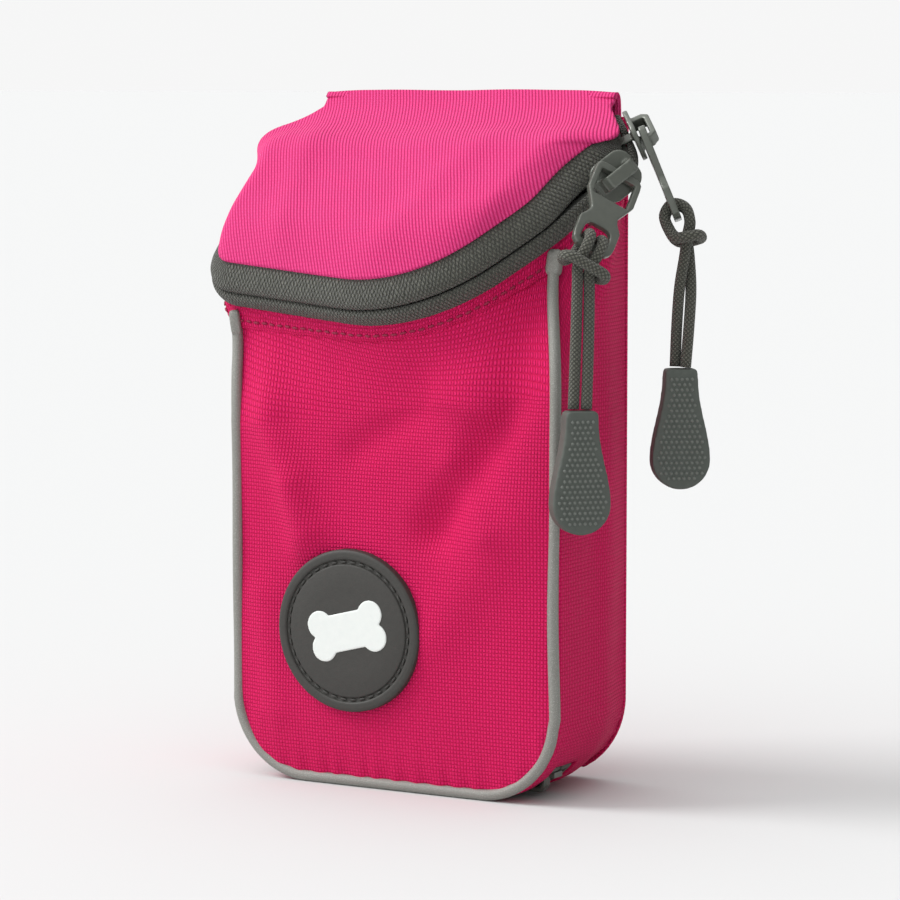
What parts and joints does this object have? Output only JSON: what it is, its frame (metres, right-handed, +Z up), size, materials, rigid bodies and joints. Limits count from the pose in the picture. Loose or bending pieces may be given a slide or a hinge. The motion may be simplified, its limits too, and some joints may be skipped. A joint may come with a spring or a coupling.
{
  "type": "treat pouch",
  "caption": "Soft woven belt pouch for treats, with a sloping zipped lid hinged at the back, zip pulls on cords with rubber grips, a round badge and a zipped bottom pocket.",
  "frame": {"origin": "middle of the base that the pouch stands on", "axes": "+Z up from the base, +Y towards the back panel with the belt loop, +X towards the side with the zip pulls"},
  "size_m": [0.112, 0.0527, 0.1516],
  "materials": {
    "nylon_pink": "coarse plain weave, matt",
    "lining_grey": "smooth, matt",
    "stiffener_plastic": "matt",
    "reflective_piping": "fine glass-bead grain",
    "zip_tape": "fine knit",
    "zip_coil": "satin",
    "painted_metal_grey": "satin, smooth",
    "cord_braid": "round braid",
    "grip_rubber": "matt with raised dots",
    "badge_rubber": "matt, fine grain",
    "emblem_white": "matt"
  },
  "bodies": {
    "pouch_body": {"front_panel": "nylon_pink", "side_gusset": "nylon_pink", "back_panel": "nylon_pink", "back_stiffener": "stiffener_plastic", "inner_lining": "lining_grey", "zip_facing": "nylon_pink", "front_piping": "reflective_piping", "zip_tape_lower": "zip_tape", "zip_coil_lower": "zip_coil", "zip_stop_right": "painted_metal_grey", "zip_stop_left": "painted_metal_grey", "pocket_tape_front": "zip_tape", "pocket_tape_rear": "zip_tape", "pocket_coil_front": "zip_coil", "pocket_coil_rear": "zip_coil", "pocket_stop_right": "painted_metal_grey", "pocket_stop_left": "painted_metal_grey", "badge": "badge_rubber", "badge_emblem": "emblem_white", "belt_loop": "nylon_pink"},
    "lid": {"lid_panel": "nylon_pink", "lid_stiffener": "stiffener_plastic", "lid_lining": "lining_grey", "zip_tape_upper": "zip_tape", "zip_coil_upper": "zip_coil"},
    "front_slider": {"slider_front": "painted_metal_grey"},
    "rear_slider": {"slider_rear": "painted_metal_grey"},
    "front_tab": {"pull_front": "painted_metal_grey"},
    "rear_tab": {"pull_rear": "painted_metal_grey"},
    "front_cord": {"cord_front": "cord_braid", "grip_front": "grip_rubber"},
    "rear_cord": {"cord_rear": "cord_braid", "grip_rear": "grip_rubber"},
    "bottom_slider": {"pocket_slider": "painted_metal_grey"},
    "bottom_tab": {"pocket_pull": "painted_metal_grey"}
  },
  "joints": [
    {"name": "lid_hinge", "type": "hinge", "parent": "pouch_body", "child": "lid", "pos_m": [0, 0.0175, 0.148], "axis": [-1, 0, 0], "range_deg": [0, 100]},
    {"name": "slider_front_travel", "type": "slide", "parent": "pouch_body", "child": "front_slider", "axis": [-0.5159, -0.6241, -0.5867], "range_m": [0, 0.005]},
    {"name": "slider_rear_travel", "type": "slide", "parent": "pouch_body", "child": "rear_slider", "axis": [-0.6, 0.5825, 0.5484], "range_m": [0, 0.0008]},
    {"name": "pull_front_swing", "type": "hinge", "parent": "front_slider", "child": "front_tab", "pos_m": [0.0459, 0.00018, 0.13392], "axis": [-0.6598, -0.5711, 0.4884], "range_deg": [0, 60]},
    {"name": "pull_rear_swing", "type": "hinge", "parent": "rear_slider", "child": "rear_tab", "pos_m": [0.04546, 0.01205, 0.14287], "axis": [0.4118, -0.8983, 0.1531], "range_deg": [0, 60]},
    {"name": "cord_front_swing", "type": "hinge", "parent": "front_tab", "child": "front_cord", "pos_m": [0.0459, -0.01263, 0.11895], "axis": [-0.6598, -0.5711, 0.4884], "range_deg": [0, 70]},
    {"name": "cord_rear_swing", "type": "hinge", "parent": "rear_tab", "child": "rear_cord", "pos_m": [0.05346, 0.01265, 0.12488], "axis": [0.4118, -0.8983, 0.1531], "range_deg": [0, 70]},
    {"name": "pocket_slider_travel", "type": "slide", "parent": "pouch_body", "child": "bottom_slider", "axis": [-1, 0, 0], "range_m": [0, 0.056]},
    {"name": "pocket_pull_swing", "type": "hinge", "parent": "bottom_slider", "child": "bottom_tab", "pos_m": [0.0294, -0.0064, 0.0034], "axis": [0, -1, 0], "range_deg": [0, 75]}
  ]
}
